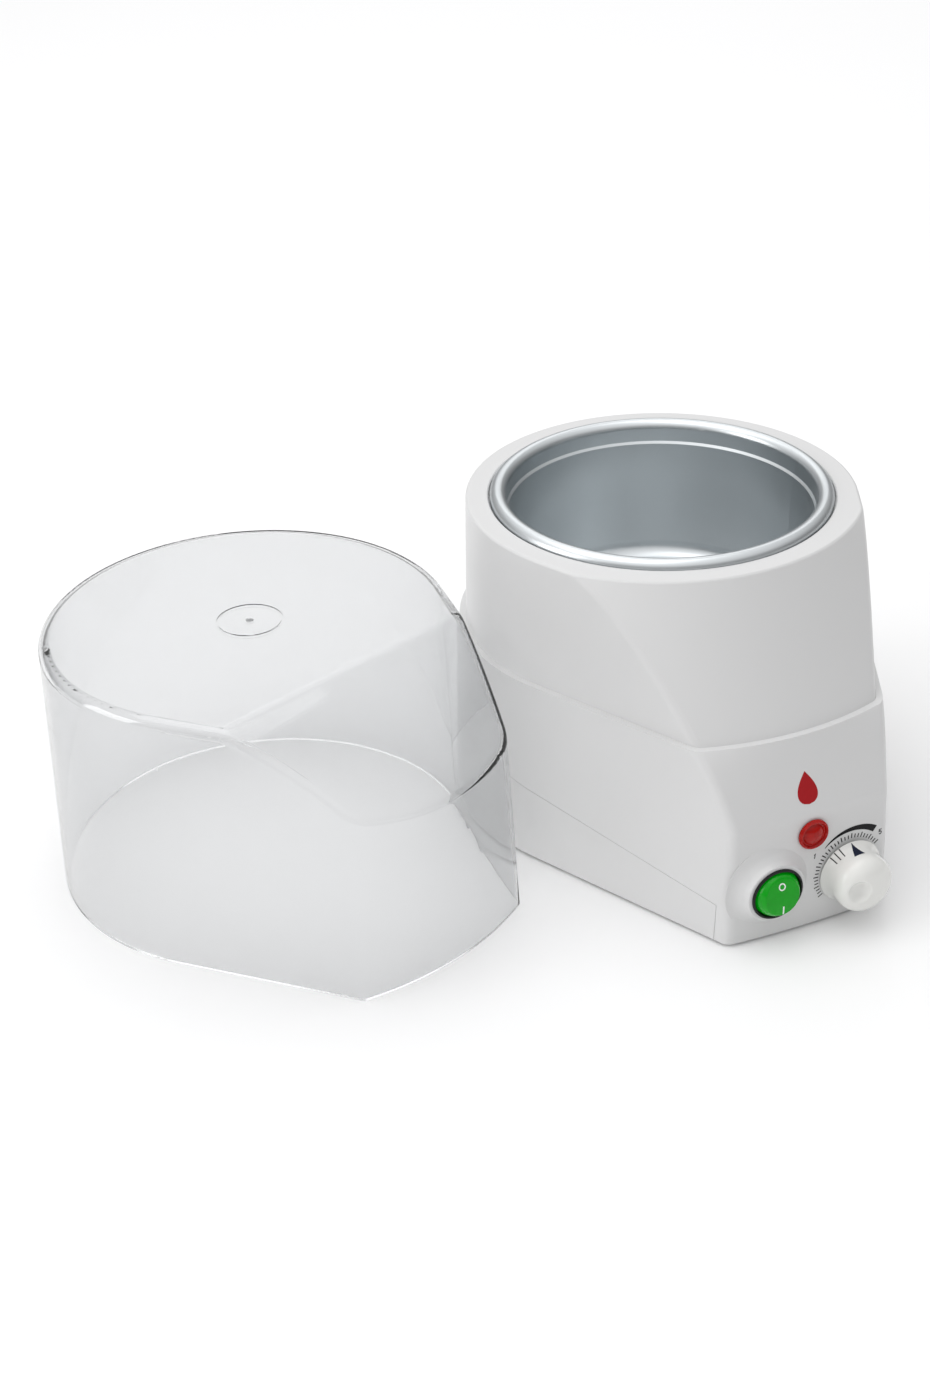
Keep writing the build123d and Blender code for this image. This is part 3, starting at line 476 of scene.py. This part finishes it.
def dial_tick(radius_in, radius_out, degrees, width):
    """Radial dash of the dial, as a grid of (x, z) points."""
    rows = []
    for step in range(4):
        radius = radius_in + (radius_out - radius_in) * step / 3
        half = math.degrees(width / 2 / radius)
        rows.append([polar(*KNOB_AXIS, radius, degrees + side * half) for side in (-1, 0, 1)])
    return rows


def stroke(points, width, centre, turn=0.0, size=1.0):
    """Pen stroke along a polyline of unit points, mitred at its corners."""
    rows = []
    for index, (u, v) in enumerate(points):
        before = Vector(points[max(index - 1, 0)])
        after = Vector(points[min(index + 1, len(points) - 1)])
        here = Vector((u, v))
        first = (here - before).normalized() if index else (after - here).normalized()
        second = (after - here).normalized() if index < len(points) - 1 else first
        along = (first + second).normalized()
        across = Vector((-along.y, along.x)) / max(0.5, along.dot(first)) * width / 2 / size
        spin = Matrix.Rotation(math.radians(turn), 2)
        rows.append([tuple(spin @ (here + across * side) * size + Vector(centre)) for side in (-1, 0, 1)])
    return rows


def arc_rows(centre, from_degrees, to_degrees, steps, inner, outer, columns=4):
    """Ring sector whose inner and outer radius are functions of the share of its length."""
    rows = []
    for step in range(steps + 1):
        share = step / steps
        degrees = from_degrees + (to_degrees - from_degrees) * share
        low, high = inner(share), outer(share)
        rows.append([
            polar(*centre, low + (high - low) * column / (columns - 1), degrees) for column in range(columns)
        ])
    return rows


def ring_rows(centre, inner, outer, steps=48):
    """Full ring, whose last row stops a step short of its first, for a closed grid."""
    return arc_rows(centre, 0, 360 - 360 / steps, steps - 1, lambda s: inner, lambda s: outer, 3)


def drop_rows(centre, height, width):
    """Falling drop: round below and pointed above."""
    rows = []
    for step in range(DROP_STEPS + 1):
        share = step / DROP_STEPS
        level = -0.5 + share
        round_share = math.sqrt(max(0.0, 1 - (2 * share - 1) ** 2))
        half = width / 2 * round_share * (1 - share) ** 0.55 * 1.35 + 0.03
        rows.append([(centre[0] + half * side, centre[1] + level * height) for side in ACROSS])
    return rows


GATE_SPOT = (-0.17088, 0.01863)  # over the hollow in the lid's top
GATE_PROFILE = [(0.0, 0.05), (0.35, 0.08), (0.6, 0.30), (0.85, 0.34), (1.1, 0.22), (1.4, 0.05), (1.5, -0.06)]
GATE_TURNS = 40


def gate_scar():
    """Small frosted pip with a hollow middle, left by the moulding gate in the lid's top."""
    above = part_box("clear_lid")[1][2] + 0.02
    drop = onto("clear_lid", lambda x, y: Vector((0, 0, -1)), lambda x, y: Vector((x, y, above)))
    place = drop(*GATE_SPOT)[0]
    mesh = bmesh.new()
    angles = [2 * math.pi * step / GATE_TURNS for step in range(GATE_TURNS)]
    rings = []
    for radius, rise in GATE_PROFILE[1:]:
        spots = [place + Vector((radius * math.cos(a), radius * math.sin(a), rise)) * MM for a in angles]
        rings.append([mesh.verts.new(spot) for spot in spots])
    top = mesh.verts.new(place + Vector((0, 0, GATE_PROFILE[0][1])) * MM)
    foot = mesh.verts.new(place + Vector((0, 0, GATE_PROFILE[-1][1])) * MM)
    for step in range(GATE_TURNS):
        after = (step + 1) % GATE_TURNS
        mesh.faces.new((top, rings[0][step], rings[0][after]))
        mesh.faces.new((foot, rings[-1][after], rings[-1][step]))
        for inner, outer in zip(rings, rings[1:]):
            mesh.faces.new((inner[step], outer[step], outer[after], inner[after]))
    piece = add_piece("lid_gate_scar", mesh, "frosted", smooth=True)
    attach(piece, "lid")


KNOB_AXIS = (joints["knob_turn"]["pos_m"][0] / MM, joints["knob_turn"]["pos_m"][2] / MM)
KNOB_BASE = joints["knob_turn"]["pos_m"][1]
ROCKER_X = joints["rocker_tilt"]["pos_m"][0] / MM
ROCKER_Z = joints["rocker_tilt"]["pos_m"][2] / MM
SCALE_FROM, SCALE_TO, SCALE_STEPS = 34, 213, 30     # degrees, degrees, gaps
TICK_INNER, TICK_LENGTH, LONG_TICK, TICK_WIDTH = 14.0, 1.7, 2.2, 0.46
WEDGE_FROM, WEDGE_TO, WEDGE_STEPS = 131.6, 52, 48
WEDGE_INNER, WEDGE_OUTER, WEDGE_SWELL = 17.3, 17.5, 2.7
DIGIT_PEN = 0.42
LOW_RADIUS, LOW_BEARING, LOW_TURN, LOW_SIZE = 19.3, 146, -8, 1.15
HIGH_RADIUS, HIGH_BEARING, HIGH_TURN, HIGH_SIZE = 18.9, 41, 0, 1.2
DROP_AT, DROP_HEIGHT, DROP_WIDTH = (-1.0, 61.5), 12.0, 8.5
RING_RISE, RING_INNER, RING_OUTER = 5.2, 1.0, 1.5
BAR_PEN, BAR_SIDE, BAR_FALL = 0.6, 0.3, 4.9
ONE = [(-0.35, 0.45), (0.05, 0.9), (0.05, -0.9)]
FIVE = [(0.5, 0.9), (-0.4, 0.9), (-0.45, 0.1), (0.15, 0.25), (0.5, -0.3), (0.15, -0.85), (-0.45, -0.75)]
BAR = [(0, 1.8), (0, 0.6), (0, -0.6), (0, -1.8)]
POINTER_AT = 93             # degrees round the knob
POINTER_HALF = 11.5
POINTER_TIP, POINTER_DEPTH = 1.5, 6.2
LINE_FROM, LINE_DEPTH = 1.3, 3.6


def round_knob(degrees, depth):
    """Point and way of a cast at the knob's side, at a bearing and a depth in front of its back."""
    angle = math.radians(degrees)
    outward = Vector((math.cos(angle), 0, math.sin(angle)))
    axis = Vector((KNOB_AXIS[0] * MM, KNOB_BASE - depth * MM, KNOB_AXIS[1] * MM))
    return axis + outward * 0.03, -outward


def panel_marks():
    """Dial ticks, heat wedge, its two numbers and the drop, printed on the housing."""
    on_panel = from_front("lower_housing")
    ticks = []
    for tick in range(SCALE_STEPS + 1):
        bearing = SCALE_FROM + (SCALE_TO - SCALE_FROM) * tick / SCALE_STEPS
        length = TICK_LENGTH if tick % 3 else LONG_TICK
        ticks.append(dial_tick(TICK_INNER, TICK_INNER + length, bearing, TICK_WIDTH))
    printed("dial_ticks", ticks, on_panel, "housing", "print_black")
    wedge = arc_rows(
        KNOB_AXIS, WEDGE_FROM, WEDGE_TO, WEDGE_STEPS,
        lambda s: WEDGE_INNER, lambda s: WEDGE_OUTER + WEDGE_SWELL * s ** 0.8,
    )
    printed("dial_heat_wedge", [wedge], on_panel, "housing", "print_black")
    low = stroke(ONE, DIGIT_PEN, polar(*KNOB_AXIS, LOW_RADIUS, LOW_BEARING), LOW_TURN, LOW_SIZE)
    printed("dial_digit_low", [low], on_panel, "housing", "print_black")
    high = stroke(FIVE, DIGIT_PEN, polar(*KNOB_AXIS, HIGH_RADIUS, HIGH_BEARING), HIGH_TURN, HIGH_SIZE)
    printed("dial_digit_high", [high], on_panel, "housing", "print_black")
    drop = drop_rows(DROP_AT, DROP_HEIGHT, DROP_WIDTH)
    printed("front_mark", [drop], on_panel, "housing", "print_red")


def rocker_marks():
    """White ring and bar, printed on the rocker."""
    on_rocker = from_front("switch_rocker")
    ring = ring_rows((ROCKER_X, ROCKER_Z + RING_RISE), RING_INNER, RING_OUTER)
    printed("rocker_off_mark", [ring], on_rocker, "rocker", "print_white", True)
    bar = stroke(BAR, BAR_PEN, (ROCKER_X + BAR_SIDE, ROCKER_Z - BAR_FALL))
    printed("rocker_on_mark", [bar], on_rocker, "rocker", "print_white")


def knob_marks():
    """Pointer and three lines on the knob's skirt."""
    on_knob = onto("thermostat_knob", lambda u, v: round_knob(u, v)[1], lambda u, v: round_knob(u, v)[0])
    pointer = [[(POINTER_AT + 0.4 * side, POINTER_TIP) for side in ACROSS]]
    for step in range(1, 9):
        share = step / 8
        half = POINTER_HALF * share
        pointer.append([(POINTER_AT + half * side, POINTER_TIP + POINTER_DEPTH * share) for side in ACROSS])
    printed("knob_pointer", [pointer], on_knob, "knob", "print_navy")
    lines = []
    for bearing in (117, 127, 137):
        depths = [LINE_FROM + LINE_DEPTH * row / 4 for row in range(5)]
        lines.append([[(bearing + side, depth) for side in (-1, 0, 1)] for depth in depths])
    printed("knob_lines", lines, on_knob, "knob", "print_black")


gate_scar()
panel_marks()
rocker_marks()
knob_marks()
